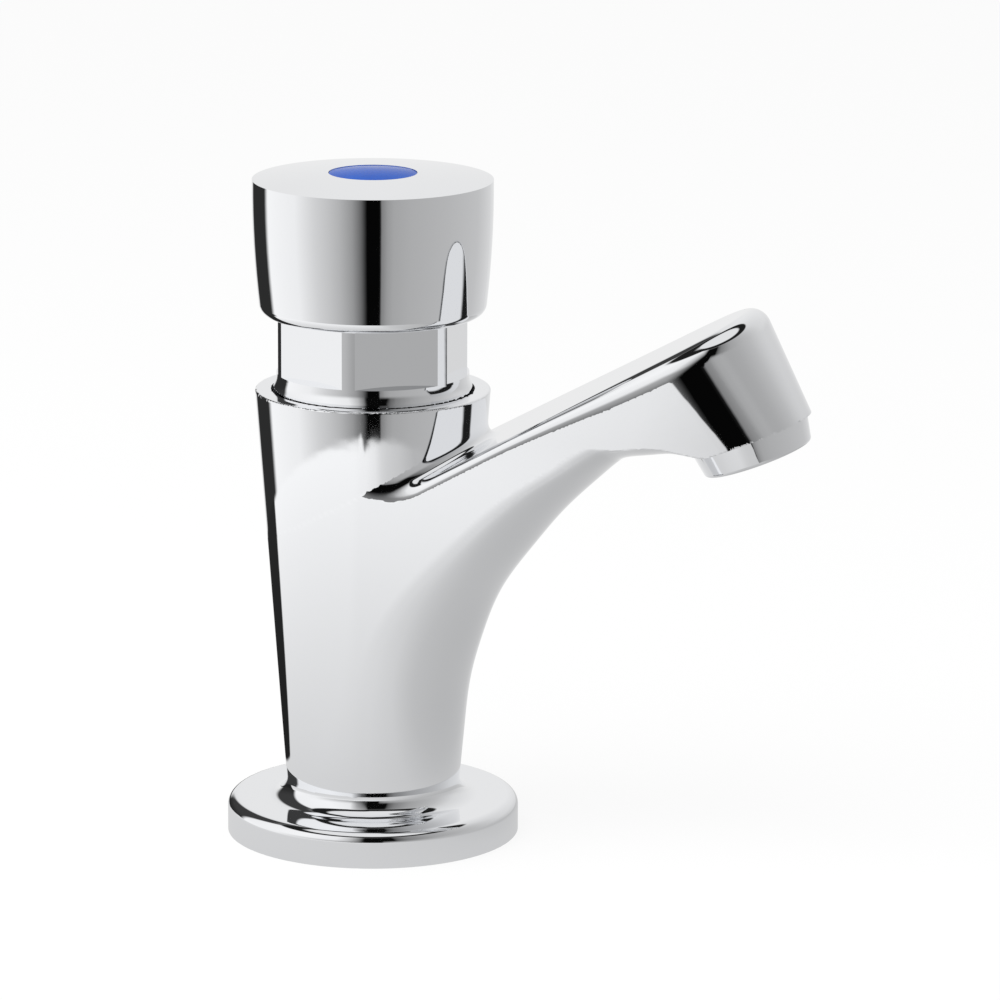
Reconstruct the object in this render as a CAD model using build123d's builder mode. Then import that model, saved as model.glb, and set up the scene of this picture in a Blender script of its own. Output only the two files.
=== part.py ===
"""Push timed basin tap in millimetres: +Z up, spout along +X, origin in the middle under the foot."""

from build123d import *
from math import acos, atan2, cos, degrees, hypot, radians, sin, sqrt, tan
import os

os.makedirs("parts", exist_ok=True)

# Foot and column of the casting
foot_diameter = 48.0
foot_thickness = 5.9
foot_edge_radius = 1.8
foot_fillet = 3.2
column_foot_diameter = 28.0
column_top_diameter = 38.4
column_top_height = 74.4

# Spout of the casting
spout_reach = 62.5
spout_outlet_height = 70.2
spout_top_height = 66.7
spout_rise_angle = 29.0
nose_diameter = 21.0
nose_lean = 26.0
outlet_lean = 21.0
root_fillet = 5.0
spout_edge_radius = 3.0
outlet_edge_radius = 0.6
heel_rim = 0.4
belly_share = 0.7
heel_rim_height = 3.0
crease_angle = 3.5
crease_run = 1.5
casting_overrun = 30.0

# The web under the spout: height, reach beyond the column, and crease, as shares of the length each follows
web_height_shares = (0.04, 0.14, 0.24, 0.35, 0.46, 0.57, 0.67, 0.76, 0.84, 0.875, 0.915, 0.95)
web_reach_shares = (0.002, 0.002, 0.004, 0.010, 0.036, 0.081, 0.157, 0.237, 0.328, 0.372, 0.438, 0.51)
web_crease_shares = (0.012, 0.016, 0.022, 0.034, 0.058, 0.127, 0.232, 0.342, 0.462, 0.526, 0.594, 0.67)

# The round belly behind the outlet: distance behind it, drop below it, rounding up to the sides
heel_runs = (21.5, 16.1, 11.0, 5.0)
heel_drops = (-0.3, 2.8, 2.75, 2.4)
heel_rounds = (2.5, 5.1, 3.2, 0.8)

# Bores of the casting
tail_socket_depth = 12.0
inlet_bore_diameter = 18.0
seat_height = 25.9
cartridge_bore_diameter = 25.0
bonnet_thread_diameter = 28.0
bonnet_thread_bottom = 64.6
bonnet_recess_diameter = 33.2
bonnet_recess_depth = 3.6
waterway_diameter = 7.0
waterway_start_height = 49.6
waterway_rise_angle = 35.8
outlet_thread_diameter = 15.6
outlet_thread_depth = 7.6
outlet_chamber_diameter = 11.0
outlet_chamber_depth = 12.5
seal_groove_diameter = 43.0
seal_groove_width = 3.4
seal_groove_depth = 1.6

# Threaded tail and what holds it to the basin
tail_thread_diameter = 20.955
tail_thread_root_diameter = 18.631
tail_thread_pitch = 1.814
tail_bore_diameter = 15.0
tail_length = 45.0
tail_chamfer = 1.0
tail_thread_top_gap = 2.0
thread_crest_share = 0.46
thread_root_share = 0.06
tail_ring_section = 1.7
basin_thickness = 14.0
clamp_washer_diameter = 36.0
clamp_washer_thickness = 2.5
tophat_diameter = 34.0
tophat_thickness = 2.2
tophat_collar_diameter = 27.0
tophat_height = 5.5
back_nut_across_flats = 30.0
back_nut_thickness = 8.0
back_nut_chamfer = 1.0
strainer_diameter = 16.0
strainer_thickness = 0.8
strainer_rim_height = 2.4
strainer_hole_diameter = 1.3
strainer_hole_spacing = 2.3

# Bonnet nut with its guide
neck_diameter = 31.4
neck_across_flats = 28.2
neck_top_height = 94.0
neck_flat_rise = 0.4
neck_flare_rise = 1.9
bonnet_flange_rise = 0.5
bonnet_hollow_diameter = 18.0
bonnet_well_diameter = 24.0
bonnet_well_depth = 5.0
bush_seat_length = 9.0
bonnet_edge_radius = 0.6
bonnet_ring_section = 1.8
bush_diameter = 10.0
bush_flange_diameter = 14.0
bush_flange_thickness = 1.5
retainer_thickness = 1.6

# Timing cylinder
cylinder_bore_diameter = 17.0
cylinder_relief_diameter = 21.8
cylinder_floor_height = 36.0
cylinder_floor_thickness = 3.0
cylinder_foot_bore_diameter = 19.6
cylinder_band_bottom = 55.0
cylinder_foot_height = 1.5
cylinder_ring_section = 2.0
cylinder_ring_height = 59.5
cylinder_window_width = 8.0
cylinder_window_height = 4.0
cylinder_windows = 4
cylinder_bleed_diameter = 1.3
cylinder_bleed_radius = 3.9
cylinder_bleeds = 4

# Valve seat and valve
seat_thickness = 4.1
seat_bore_diameter = 8.4
seat_lip_height = 0.7
seat_lip_diameter = 11.6
seat_lip_width = 0.8
seat_ring_section = 1.6
valve_washer_diameter = 13.0
valve_washer_thickness = 3.0
holder_diameter = 14.0
holder_floor = 2.2
holder_rim = 2.2
valve_nut_across_flats = 7.0
valve_nut_thickness = 3.0

# Rod, piston and spring
rod_diameter = 5.0
rod_tail_diameter = 4.0
rod_tail_stub = 1.0
rod_top_rise = 9.0
rod_chamfer = 0.4
clip_diameter = 7.4
clip_thickness = 0.6
clip_groove_depth = 0.45
clip_gap_angle = 70.0
piston_bottom = 56.0
piston_length = 5.5
lip_groove_diameter = 13.2
lip_groove_bottom = 58.9
lip_groove_height = 2.0
lip_seal_notch = 0.7
metering_pin_diameter = 0.9
metering_pin_radius = 4.7
metering_pin_head = 0.4
spring_wire_diameter = 1.2
spring_mean_diameter = 12.0
spring_turns = 5.5
button_stroke = 8.0

# Push cap
cap_top_diameter = 39.1
cap_waist_diameter = 38.6
cap_bottom_diameter = 36.6
cap_bottom_gap = 4.4
cap_rim_rise = 14.9
cap_dome_rise = 1.2
cap_top_edge_radius = 1.1
cap_bottom_edge_radius = 1.9
cap_bore_diameter = 32.2
cap_roof_rise = 11.0
cap_boss_diameter = 11.0
cap_boss_gap = 0.5
cap_screw_seat_rise = 10.6
cap_screw_head_diameter = 6.8
cap_screw_head_height = 2.4
cap_screw_diameter = 3.2
cap_screw_length = 8.5
cap_screw_socket = 2.5
cap_screw_socket_depth = 1.3
disc_diameter = 14.3
disc_thickness = 2.2
disc_proud = 0.25
disc_dome_rise = 0.5

# Outlet nozzle and what it holds
nozzle_top_diameter = 19.6
nozzle_bottom_diameter = 18.0
nozzle_height = 4.2
nozzle_edge_radius = 0.7
nozzle_spigot_length = 6.0
nozzle_bore_diameter = 13.2
nozzle_lip_diameter = 11.2
nozzle_lip_thickness = 1.2
straightener_height = 5.0
straightener_hole_diameter = 1.5
straightener_hole_spacing = 2.1
screen_thickness = 0.6
screen_hole = 0.8
screen_pitch = 1.25
regulator_hole_diameter = 1.8
regulator_holes = 6
regulator_groove_depth = 0.9
regulator_groove_width = 2.6
regulator_groove_share = 0.62
outlet_washer_bore_diameter = 9.0

# Clearances
thread_clearance = 0.05
seat_clearance = 0.05
running_clearance = 0.05
piston_clearance = 0.1
flange_clearance = 0.4
overrun = 5.0
skin = 0.03
insert_clearance = 0.1

# Sizes that follow from the ones above
column_span = column_top_height - foot_thickness
rise = tan(radians(spout_rise_angle))
tail_radius = tail_thread_diameter / 2
rod_radius = rod_diameter / 2
piston_top = piston_bottom + piston_length
washer_top = seat_height - seat_lip_height
holder_top = washer_top - valve_washer_thickness
holder_bottom = holder_top - holder_floor
nut_bottom = holder_bottom - valve_nut_thickness
rod_bottom = nut_bottom - rod_tail_stub
cylinder_bottom = seat_height + seat_thickness
cylinder_floor_top = cylinder_floor_height + cylinder_floor_thickness
clamp_top = -basin_thickness
clamp_bottom = clamp_top - clamp_washer_thickness
tophat_bottom = clamp_bottom - tophat_height
nut_top = tophat_bottom
back_nut_bottom = nut_top - back_nut_thickness
bonnet_flange_top = column_top_height + bonnet_flange_rise
neck_flare_height = bonnet_flange_top + neck_flare_rise
neck_flat_bottom = neck_flare_height + neck_flat_rise
bonnet_well_bottom = neck_top_height - bonnet_well_depth
bonnet_hollow_top = bonnet_well_bottom - bush_seat_length
rod_top_height = neck_top_height + rod_top_rise
cap_rim_height = neck_top_height + cap_rim_rise
cap_roof_height = neck_top_height + cap_roof_rise
cap_screw_seat_height = neck_top_height + cap_screw_seat_rise
cap_bottom_height = column_top_height + button_stroke + cap_bottom_gap
cap_boss_bottom = bonnet_well_bottom + bush_flange_thickness + button_stroke + cap_boss_gap
cap_top_height = cap_rim_height + cap_dome_rise

# The outlet's own frame: its origin is the middle of the nose's flat underside and its z leaves the nozzle
outlet_plane = Plane(
    origin=(spout_reach, 0, spout_outlet_height),
    x_dir=(cos(radians(outlet_lean)), 0, sin(radians(outlet_lean))),
    z_dir=(sin(radians(outlet_lean)), 0, -cos(radians(outlet_lean))),
)


def column_radius(height):
    """Radius of the tapered column at a height."""
    share = (height - foot_thickness) / column_span
    return (column_foot_diameter + (column_top_diameter - column_foot_diameter) * share) / 2


def nose_centre(height):
    """Distance of the leaning nose's axis from the column's axis at a height."""
    return spout_reach - tan(radians(nose_lean)) * (height - spout_outlet_height)


def side_slope(height):
    """Angle of the flat side that touches the column and the nose at a height."""
    return (column_radius(height) - nose_diameter / 2) / nose_centre(height)


def side_width(height, along):
    """Half width of the casting between its flat sides."""
    slope = side_slope(height)
    return (column_radius(height) - along * slope) / sqrt(1 - slope**2)


def profile_plane(frame):
    """Plane through a frame's z axis, whose x is the radius and whose y is the frame's z."""
    return Plane(origin=frame.origin, x_dir=frame.x_dir, z_dir=-frame.y_dir)


def turned(*points, frame=Plane.XY, mode=Mode.ADD):
    """Closed outline of (radius, height) points, turned about a frame's z axis in the open part."""
    with BuildSketch(profile_plane(frame)) as profile:
        with BuildLine():
            Polyline(*points, close=True)
        make_face()
    revolve(profile.sketch, axis=Axis(frame.origin, frame.z_dir), mode=mode)


def ring(outer, inner, bottom, top, frame=Plane.XY, mode=Mode.ADD):
    """Round ring between two heights of a frame, in the open part."""
    turned((inner, bottom), (outer, bottom), (outer, top), (inner, top), frame=frame, mode=mode)


def cut_hole(radius, bottom, top, frame=Plane.XY):
    """Round hole between two heights of a frame, in the open part."""
    with BuildSketch(frame.offset(bottom)) as disc:
        Circle(radius)
    extrude(disc.sketch, amount=top - bottom, mode=Mode.SUBTRACT)


def ring_groove(bore, section, height):
    """Square groove for an O-ring that seals against a bore, cut in the open part."""
    half = section / 2 + seat_clearance
    ring(bore, bore - section - 2 * seat_clearance, height - half, height + half, mode=Mode.SUBTRACT)


def o_ring(bore, section, height):
    """Round rubber ring that seals against a bore, in the open part."""
    with BuildSketch(Plane.XZ) as profile:
        with Locations((bore - seat_clearance - section / 2, height)):
            Circle(section / 2)
    revolve(profile.sketch, axis=Axis.Z)


def spots_within(pattern, radius):
    """Places of a pattern that lie within a radius."""
    return [spot.position for spot in pattern if spot.position.length < radius]


def keep(part, name):
    """Labels one finished piece and writes it."""
    part.label = name
    export_step(part, f"parts/{name}.step")


def web_section(height, reach_share, crease_share):
    """Outline of the web: half an ellipse in front, tangent to flanks wider than the casting."""
    apex = column_radius(height) + spout_reach * reach_share
    crease = spout_reach * crease_share
    slope = tan(side_slope(height) + radians(crease_angle))
    joint = crease + crease_run
    width = side_width(height, crease) - slope * crease_run
    pull = slope * (apex - joint) / width
    joint_cosine = pull / (1 - pull)
    reach = (apex - joint) / (1 - joint_cosine)
    half = width / sqrt(1 - joint_cosine**2)
    turn = degrees(acos(joint_cosine))
    back = -column_top_diameter
    back_width = width + slope * (joint - back)
    with BuildSketch(Plane.XY.offset(height)) as section:
        with BuildLine():
            EllipticalCenterArc((apex - reach, 0), reach, half, start_angle=-turn, arc_size=2 * turn)
            Polyline((joint, width), (back, back_width), (back, -back_width), (joint, -width))
        make_face()
    return section.sketch


def flat_top(along):
    """Height of the spout's flat top at a distance from the column's axis."""
    return spout_top_height + rise * (along - column_top_diameter / 2)


# The casting's plan at five heights: column at the back, nose at the front, flat sides that touch both
hull_top = flat_top(spout_reach) + casting_overrun / 2
with BuildPart() as plan_hull:
    for height in (0, column_top_height / 3, column_top_height * 2 / 3, column_top_height, hull_top):
        slope = side_slope(height)
        back = column_radius(height)
        stretch = 1 / cos(radians(nose_lean))
        front = nose_diameter / 2
        middle = nose_centre(height)
        column_touch = degrees(acos(slope))
        nose_touch = degrees(atan2(sqrt(1 - slope**2), stretch * slope))
        column_point = (back * slope, back * sqrt(1 - slope**2))
        nose_point = (
            middle + front * stretch * cos(radians(nose_touch)),
            front * sin(radians(nose_touch)),
        )
        with BuildSketch(Plane.XY.offset(height)):
            with BuildLine():
                CenterArc((0, 0), back, column_touch, 360 - 2 * column_touch)
                Line((column_point[0], -column_point[1]), (nose_point[0], -nose_point[1]))
                EllipticalCenterArc(
                    (middle, 0), front * stretch, front, start_angle=-nose_touch, arc_size=2 * nose_touch
                )
                Line(nose_point, column_point)
            make_face()
    loft()

# What stays of it over the concave web, the rear of the spout and the round end of the nose
web_shares = list(zip(web_height_shares, web_reach_shares, web_crease_shares))
web_top = column_top_height * web_height_shares[-1]
nose_tip = outlet_plane.from_local_coords((nose_diameter, 0, 0))
heel_front = spout_reach - heel_runs[-1]
belly_half = column_radius(column_top_height) * belly_share
with BuildPart() as heel:
    for run, drop, round_height in zip(heel_runs, heel_drops, heel_rounds):
        with BuildSketch(Plane(origin=(spout_reach - run, 0, 0), x_dir=(0, 1, 0), z_dir=(1, 0, 0))):
            with BuildLine():
                arc_middle = spout_outlet_height - drop + round_height
                EllipticalCenterArc(
                    (0, arc_middle), belly_half, round_height, start_angle=180, arc_size=180
                )
                Polyline(
                    (belly_half, arc_middle),
                    (belly_half, hull_top),
                    (-belly_half, hull_top),
                    (-belly_half, arc_middle),
                )
            make_face()
    loft()
    with BuildSketch(Plane.XZ):
        with BuildLine():
            Polyline(
                (heel_front, 0),
                (nose_tip.X, 0),
                (nose_tip.X, hull_top),
                (heel_front, hull_top),
                close=True,
            )
        make_face()
    extrude(amount=belly_half, both=True)
    with BuildSketch(outlet_plane) as below_outlet:
        Rectangle(spout_reach * 2, spout_reach * 2)
    extrude(below_outlet.sketch, amount=spout_reach * 2, mode=Mode.SUBTRACT)
with BuildPart() as upper_side:
    loft([web_section(column_top_height * height, reach, crease) for height, reach, crease in web_shares])
    extrude(web_section(web_top, web_reach_shares[-1], web_crease_shares[-1]), amount=hull_top - web_top)
    add(heel.part)
    ring(nozzle_top_diameter / 2 + heel_rim, 0, -heel_rim_height, 0, outlet_plane)

# The space over the spout's flat top and outside the column, rounded at the root of the spout
column_touch = column_radius(column_top_height) * side_slope(column_top_height)
with BuildPart() as over_spout:
    with BuildSketch(Plane.XZ):
        with BuildLine():
            Polyline(
                (column_touch, flat_top(column_touch)),
                (nose_tip.X, flat_top(nose_tip.X)),
                (nose_tip.X, hull_top + casting_overrun),
                (column_touch, hull_top + casting_overrun),
                close=True,
            )
        make_face()
    extrude(amount=column_top_diameter, both=True)
    turned(
        (0, 0),
        (column_radius(0) - skin, 0),
        (column_radius(hull_top + 2 * casting_overrun) - skin, hull_top + 2 * casting_overrun),
        (0, hull_top + 2 * casting_overrun),
        mode=Mode.SUBTRACT,
    )
    fillet(over_spout.edges().filter_by(GeomType.ELLIPSE), root_fillet)

# Casting: foot, column and spout in one piece, with its bores
bore_radius = cartridge_bore_diameter / 2
outlet_slope = 1 / tan(radians(outlet_lean))
water_slope = tan(radians(waterway_rise_angle))
water_run = (
    spout_outlet_height + (spout_reach - bore_radius) * outlet_slope - waterway_start_height
) / (water_slope + outlet_slope)
waterway_plane = Plane(
    origin=(bore_radius, 0, waterway_start_height),
    x_dir=(0, 1, 0),
    z_dir=(1, 0, water_slope),
)
recess_floor = column_top_height - bonnet_recess_depth
groove_outer = seal_groove_diameter / 2
with BuildPart() as tap_body:
    add(plan_hull.part)
    add(upper_side.part, mode=Mode.INTERSECT)
    add(over_spout.part, mode=Mode.SUBTRACT)
    cut_hole(column_radius(hull_top), column_top_height, hull_top)
    with BuildSketch():
        Circle(foot_diameter / 2)
    extrude(amount=foot_thickness)
    foot_edges = tap_body.edges().filter_by_position(Axis.Z, foot_thickness, foot_thickness)
    fillet(foot_edges.sort_by(SortBy.LENGTH)[:-1], foot_fillet)
    foot_edges = tap_body.edges().filter_by_position(Axis.Z, foot_thickness, foot_thickness)
    fillet(foot_edges.sort_by(SortBy.LENGTH)[-1], foot_edge_radius)
    spout_face = tap_body.faces().filter_by(GeomType.PLANE).sort_by(Axis.Z)[-1]
    fillet(spout_face.edges().sort_by(Axis.X)[1:], spout_edge_radius)
    outlet_face = tap_body.faces().sort_by_distance(outlet_plane.origin)[0]
    fillet(outlet_face.edges(), outlet_edge_radius)
    cut_hole(tail_radius + thread_clearance, 0, tail_socket_depth)
    cut_hole(inlet_bore_diameter / 2, 0, seat_height)
    cut_hole(bore_radius, seat_height, column_top_height)
    cut_hole(bonnet_thread_diameter / 2 + thread_clearance, bonnet_thread_bottom, column_top_height)
    cut_hole(bonnet_recess_diameter / 2, recess_floor, column_top_height)
    cut_hole(waterway_diameter / 2, -bore_radius / 2, water_run * hypot(1, water_slope), waterway_plane)
    cut_hole(outlet_thread_diameter / 2, -outlet_thread_depth, overrun, outlet_plane)
    cut_hole(outlet_chamber_diameter / 2, -outlet_chamber_depth, 0, outlet_plane)
    ring(groove_outer, groove_outer - seal_groove_width, 0, seal_groove_depth, mode=Mode.SUBTRACT)
keep(tap_body.part, "tap_body")

# Threaded tail that is screwed up into the foot
tail_ring_height = tail_socket_depth - tail_ring_section - tail_chamfer
with BuildPart() as threaded_tail:
    ring(tail_radius, tail_bore_diameter / 2, -tail_length, tail_socket_depth)
    chamfer(threaded_tail.edges().filter_by(GeomType.CIRCLE).sort_by(Axis.Z)[0], tail_chamfer)
    with BuildLine() as thread_path:
        Helix(
            tail_thread_pitch,
            tail_length - tail_thread_top_gap,
            tail_radius,
            center=(0, 0, -tail_length - tail_thread_pitch),
        )
    with BuildSketch(Plane(origin=thread_path.line @ 0, x_dir=(1, 0, 0), z_dir=thread_path.line % 0)):
        depth = tail_radius - tail_thread_root_diameter / 2
        with BuildLine():
            Polyline(
                (skin, -tail_thread_pitch * thread_crest_share),
                (skin, tail_thread_pitch * thread_crest_share),
                (-depth, tail_thread_pitch * thread_root_share),
                (-depth, -tail_thread_pitch * thread_root_share),
                close=True,
            )
        make_face()
    sweep(is_frenet=True, mode=Mode.SUBTRACT)
    cut_hole(strainer_diameter / 2, -tail_length, strainer_rim_height - tail_length)
    ring_groove(tail_radius + thread_clearance, tail_ring_section, tail_ring_height)
keep(threaded_tail.part, "threaded_tail")

with BuildPart() as tail_o_ring:
    o_ring(tail_radius + thread_clearance, tail_ring_section, tail_ring_height)
keep(tail_o_ring.part, "tail_o_ring")

# Soft ring between the foot and the basin
with BuildPart() as base_seal:
    groove_inner = groove_outer - seal_groove_width
    ring(groove_outer - seat_clearance, groove_inner + seat_clearance, 0, seal_groove_depth)
keep(base_seal.part, "base_seal")

# Washers and nut that pull the foot down from under the basin
tail_hole = tail_radius + thread_clearance
with BuildPart() as clamp_washer:
    ring(clamp_washer_diameter / 2, tail_hole, clamp_bottom, clamp_top)
keep(clamp_washer.part, "clamp_washer")

with BuildPart() as tophat_washer:
    turned(
        (tail_hole, tophat_bottom),
        (tophat_collar_diameter / 2, tophat_bottom),
        (tophat_collar_diameter / 2, clamp_bottom - tophat_thickness),
        (tophat_diameter / 2, clamp_bottom - tophat_thickness),
        (tophat_diameter / 2, clamp_bottom),
        (tail_hole, clamp_bottom),
    )
keep(tophat_washer.part, "tophat_washer")

nut_half = back_nut_across_flats / 2
with BuildPart() as back_nut:
    with BuildSketch(Plane.XY.offset(back_nut_bottom)):
        RegularPolygon(nut_half, 6, major_radius=False)
    extrude(amount=back_nut_thickness)
    turned(
        (0, back_nut_bottom),
        (nut_half, back_nut_bottom),
        (nut_half + 2 * back_nut_chamfer, back_nut_bottom + back_nut_chamfer),
        (nut_half + 2 * back_nut_chamfer, nut_top - back_nut_chamfer),
        (nut_half, nut_top),
        (0, nut_top),
        mode=Mode.INTERSECT,
    )
    cut_hole(tail_hole, back_nut_bottom, nut_top)
keep(back_nut.part, "back_nut")

# Cup-shaped strainer in the end of the tail
strainer_radius = strainer_diameter / 2 - seat_clearance
strainer_top = strainer_rim_height - tail_length
strainer_holes = spots_within(
    HexLocations(strainer_hole_spacing / 2, 9, 9), strainer_radius - strainer_hole_spacing
)
with BuildPart() as inlet_strainer:
    ring(strainer_radius, 0, strainer_top - strainer_thickness, strainer_top)
    ring(strainer_radius, strainer_radius - strainer_thickness, -tail_length, strainer_top)
    with BuildSketch(Plane.XY.offset(strainer_top)):
        with Locations(*strainer_holes):
            Circle(strainer_hole_diameter / 2)
    extrude(amount=-strainer_thickness, mode=Mode.SUBTRACT)
keep(inlet_strainer.part, "inlet_strainer")

# Bonnet nut: threaded foot, flange, flared neck with six flats, hollow below and a well on top
neck_radius = neck_diameter / 2
thread_radius = bonnet_thread_diameter / 2
flange_radius = bonnet_recess_diameter / 2 - flange_clearance
bonnet_ring_height = recess_floor + bonnet_recess_depth / 2
bush_radius = bush_diameter / 2
with BuildPart() as bonnet_nut:
    with BuildSketch(Plane.XZ):
        with BuildLine():
            Polyline(
                (flange_radius, bonnet_flange_top),
                (flange_radius, recess_floor),
                (thread_radius, recess_floor),
                (thread_radius, bonnet_thread_bottom),
                (0, bonnet_thread_bottom),
                (0, neck_top_height),
                (neck_radius, neck_top_height),
                (neck_radius, neck_flare_height),
            )
            TangentArc(
                (neck_radius, neck_flare_height), (flange_radius, bonnet_flange_top), tangent=(0, -1)
            )
        make_face()
    revolve(axis=Axis.Z)
    fillet(bonnet_nut.edges().filter_by(GeomType.CIRCLE).sort_by(Axis.Z)[-1], bonnet_edge_radius)
    with BuildSketch(Plane.XY.offset(neck_flat_bottom)):
        Circle(neck_radius + overrun)
        RegularPolygon(neck_across_flats / 2, 6, major_radius=False, rotation=30, mode=Mode.SUBTRACT)
    extrude(amount=neck_top_height - neck_flat_bottom, mode=Mode.SUBTRACT)
    cut_hole(bonnet_hollow_diameter / 2, bonnet_thread_bottom, bonnet_hollow_top)
    cut_hole(bush_radius, bonnet_hollow_top, bonnet_well_bottom)
    cut_hole(bonnet_well_diameter / 2, bonnet_well_bottom, neck_top_height)
    ring_groove(bonnet_recess_diameter / 2, bonnet_ring_section, bonnet_ring_height)
keep(bonnet_nut.part, "bonnet_nut")

with BuildPart() as bonnet_o_ring:
    o_ring(bonnet_recess_diameter / 2, bonnet_ring_section, bonnet_ring_height)
keep(bonnet_o_ring.part, "bonnet_o_ring")

# What guides the rod and seals it in the bonnet nut, from the bottom up
rod_hole = rod_radius + running_clearance
rod_seal_section = bush_radius - rod_hole - 2 * seat_clearance
seal_bottom = bonnet_hollow_top + retainer_thickness
seal_top = seal_bottom + rod_seal_section
with BuildPart() as seal_retainer:
    ring(bush_radius - seat_clearance, rod_hole, bonnet_hollow_top, seal_bottom)
keep(seal_retainer.part, "seal_retainer")

with BuildPart() as rod_seal:
    o_ring(bush_radius - seat_clearance, rod_seal_section, seal_bottom + rod_seal_section / 2)
keep(rod_seal.part, "rod_seal")

bush_top = bonnet_well_bottom + bush_flange_thickness
with BuildPart() as guide_bush:
    turned(
        (rod_hole, seal_top),
        (bush_radius - seat_clearance, seal_top),
        (bush_radius - seat_clearance, bonnet_well_bottom),
        (bush_flange_diameter / 2, bonnet_well_bottom),
        (bush_flange_diameter / 2, bush_top),
        (rod_hole, bush_top),
    )
keep(guide_bush.part, "guide_bush")

# Timing cylinder: windowed foot over the seat, floor for the spring, bore for the piston, sealed band
cylinder_radius = bore_radius - seat_clearance
relief_radius = cylinder_relief_diameter / 2
window_bottom = cylinder_bottom + cylinder_foot_height
with BuildPart() as timing_cylinder:
    turned(
        (0, cylinder_bottom),
        (cylinder_radius, cylinder_bottom),
        (cylinder_radius, window_bottom),
        (relief_radius, window_bottom),
        (relief_radius, cylinder_band_bottom),
        (cylinder_radius, cylinder_band_bottom),
        (cylinder_radius, bonnet_thread_bottom),
        (0, bonnet_thread_bottom),
    )
    cut_hole(cylinder_foot_bore_diameter / 2, cylinder_bottom, cylinder_floor_height)
    cut_hole(cylinder_bore_diameter / 2, cylinder_floor_top, bonnet_thread_bottom)
    cut_hole(rod_hole, cylinder_floor_height, cylinder_floor_top)
    with BuildSketch(Plane.XY.offset(window_bottom)):
        with PolarLocations(relief_radius, cylinder_windows):
            Rectangle(relief_radius, cylinder_window_width)
    extrude(amount=cylinder_window_height, mode=Mode.SUBTRACT)
    with BuildSketch(Plane.XY.offset(cylinder_floor_height)):
        with PolarLocations(cylinder_bleed_radius, cylinder_bleeds):
            Circle(cylinder_bleed_diameter / 2)
    extrude(amount=cylinder_floor_thickness, mode=Mode.SUBTRACT)
    ring_groove(bore_radius, cylinder_ring_section, cylinder_ring_height)
keep(timing_cylinder.part, "timing_cylinder")

with BuildPart() as cylinder_o_ring:
    o_ring(bore_radius, cylinder_ring_section, cylinder_ring_height)
keep(cylinder_o_ring.part, "cylinder_o_ring")

# Valve seat: disc on the casting's ledge, with a raised lip under it that the valve washer closes against
seat_ring_height = seat_height + seat_thickness / 2
lip_radius = seat_lip_diameter / 2
with BuildPart() as valve_seat:
    ring(cylinder_radius, seat_bore_diameter / 2, seat_height, cylinder_bottom)
    ring(lip_radius, lip_radius - seat_lip_width, washer_top, seat_height)
    ring_groove(bore_radius, seat_ring_section, seat_ring_height)
keep(valve_seat.part, "valve_seat")

with BuildPart() as seat_o_ring:
    o_ring(bore_radius, seat_ring_section, seat_ring_height)
keep(seat_o_ring.part, "seat_o_ring")

# Valve under the seat, on the tail of the rod
rod_tail_hole = rod_tail_diameter / 2 + seat_clearance
with BuildPart() as valve_washer:
    ring(valve_washer_diameter / 2, rod_tail_hole, holder_top, washer_top)
keep(valve_washer.part, "valve_washer")

with BuildPart() as valve_holder:
    ring(holder_diameter / 2, rod_tail_hole, holder_bottom, holder_top)
    holder_bore = valve_washer_diameter / 2 + seat_clearance
    ring(holder_diameter / 2, holder_bore, holder_top, holder_top + holder_rim)
keep(valve_holder.part, "valve_holder")

with BuildPart() as valve_nut:
    with BuildSketch(Plane.XY.offset(nut_bottom)):
        RegularPolygon(valve_nut_across_flats / 2, 6, major_radius=False)
        Circle(rod_tail_hole, mode=Mode.SUBTRACT)
    extrude(amount=valve_nut_thickness)
keep(valve_nut.part, "valve_nut")

# Rod: stepped tail for the valve, two clip grooves at the piston and a tapped hole in the top
clip_heights = {"lower_rod_clip": piston_bottom - clip_thickness, "upper_rod_clip": piston_top}
groove_radius = rod_radius - clip_groove_depth
tapped_radius = cap_screw_diameter / 2 + thread_clearance
with BuildPart() as push_rod:
    turned(
        (0, rod_bottom),
        (rod_tail_diameter / 2 - rod_chamfer, rod_bottom),
        (rod_tail_diameter / 2, rod_bottom + rod_chamfer),
        (rod_tail_diameter / 2, washer_top),
        (rod_radius, washer_top),
        (rod_radius, rod_top_height - rod_chamfer),
        (rod_radius - rod_chamfer, rod_top_height),
        (0, rod_top_height),
    )
    for clip_bottom in clip_heights.values():
        ring(rod_radius, groove_radius, clip_bottom, clip_bottom + clip_thickness, mode=Mode.SUBTRACT)
    cut_hole(tapped_radius, cap_screw_seat_height - cap_screw_length - skin, rod_top_height)
keep(push_rod.part, "push_rod")

# Open spring clips in the rod's grooves, above and below the piston
for clip_name, clip_bottom in clip_heights.items():
    with BuildPart() as rod_clip:
        ring(clip_diameter / 2, groove_radius, clip_bottom, clip_bottom + clip_thickness)
        with BuildSketch(Plane.XY.offset(clip_bottom)):
            with BuildLine():
                Polyline(
                    (0, 0),
                    (clip_diameter, -clip_diameter * tan(radians(clip_gap_angle / 2))),
                    (clip_diameter, clip_diameter * tan(radians(clip_gap_angle / 2))),
                    close=True,
                )
            make_face()
        extrude(amount=clip_thickness, mode=Mode.SUBTRACT)
    keep(rod_clip.part, clip_name)

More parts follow.
